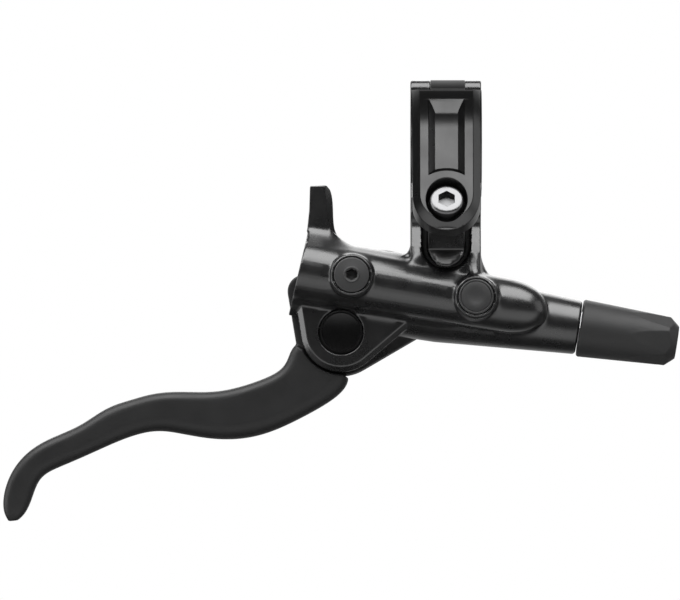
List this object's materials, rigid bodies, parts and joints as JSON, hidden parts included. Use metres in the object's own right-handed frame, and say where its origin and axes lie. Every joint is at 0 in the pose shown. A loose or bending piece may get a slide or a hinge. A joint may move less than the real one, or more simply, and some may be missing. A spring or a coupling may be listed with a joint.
{
  "type": "bicycle brake lever",
  "caption": "Right-hand hydraulic bicycle brake lever: hooked two-finger blade on a master cylinder body with a hinged handlebar clamp, brace prong and hose outlet.",
  "frame": {"origin": "centre of the handlebar clamp bore, at the middle of the clamp's width", "axes": "+X along the handlebar towards the hose outlet, +Y from the clamp bolt's side to the back of the clamp, +Z from the lever up to the handlebar"},
  "size_m": [0.1692, 0.0349, 0.1103],
  "materials": {
    "casting": "satin",
    "band": "satin",
    "blade": "matte",
    "bolt_steel": "polished",
    "pin_steel": "satin",
    "bright_steel": "satin",
    "inner_alloy": "satin",
    "cap_plastic": "matte",
    "cover_plastic": "matte",
    "seal_rubber": "matte",
    "soft_brass": "satin"
  },
  "bodies": {
    "body": {"master_cylinder_body": "casting", "clamp_hinge_pin": "pin_steel", "bleed_screw": "cap_plastic", "bleed_screw_seal": "seal_rubber", "reservoir_cap": "cap_plastic", "reservoir_cap_seal": "seal_rubber", "reservoir_bladder": "seal_rubber", "lever_pivot_pin": "pin_steel", "pivot_circlip": "pin_steel", "piston_stop_ring": "bright_steel", "piston_return_spring": "bright_steel", "hose_connecting_bolt": "bright_steel", "hose_olive": "soft_brass", "hose_cover": "cover_plastic"},
    "clamp_band": {"clamp_band": "band"},
    "clamp_bolt": {"clamp_bolt": "bolt_steel"},
    "lever": {"lever_blade": "blade", "pivot_bush_front": "soft_brass", "pivot_bush_rear": "soft_brass"},
    "barrel_nut": {"pushrod_barrel_nut": "bright_steel"},
    "pushrod": {"reach_adjust_pushrod": "bright_steel"},
    "piston": {"piston": "inner_alloy", "primary_cup_seal": "seal_rubber", "secondary_cup_seal": "seal_rubber"}
  },
  "joints": [
    {"name": "clamp_open", "type": "hinge", "parent": "body", "child": "clamp_band", "pos_m": [0, 0.00841, 0.01295], "axis": [-1, 0, 0], "range_deg": [0, 95]},
    {"name": "clamp_bolt_out", "type": "slide", "parent": "clamp_band", "child": "clamp_bolt", "axis": [0, -0.8387, 0.5446], "range_m": [0, 0.01]},
    {"name": "lever_pull", "type": "hinge", "parent": "body", "child": "lever", "pos_m": [-0.02625, 0.0035, -0.04774], "axis": [0, 1, 0], "range_deg": [0, 20], "stiffness_Nm_per_rad": 1, "springref_deg": -17.19},
    {"name": "pushrod_swivel", "type": "hinge", "parent": "lever", "child": "barrel_nut", "pos_m": [-0.03117, 0.0035, -0.03688], "axis": [0, 1, 0], "range_deg": [-13, 0]},
    {"name": "reach_adjust", "type": "hinge", "parent": "barrel_nut", "child": "pushrod", "pos_m": [-0.03117, 0.0035, -0.03688], "axis": [0.9886, 0, -0.1506], "range_deg": [-360, 360]},
    {"name": "piston_slide", "type": "slide", "parent": "body", "child": "piston", "axis": [0.9886, 0, -0.1506], "range_m": [0, 0.0038], "deforming": ["piston_return_spring"]}
  ],
  "couplings": [
    {"joint": "clamp_bolt_out", "follows": "clamp_open", "m_per_rad": 0.006},
    {"joint": "pushrod_swivel", "follows": "lever_pull", "ratio": -0.6415},
    {"joint": "piston_slide", "follows": "lever_pull", "m_per_rad": 0.01064}
  ]
}
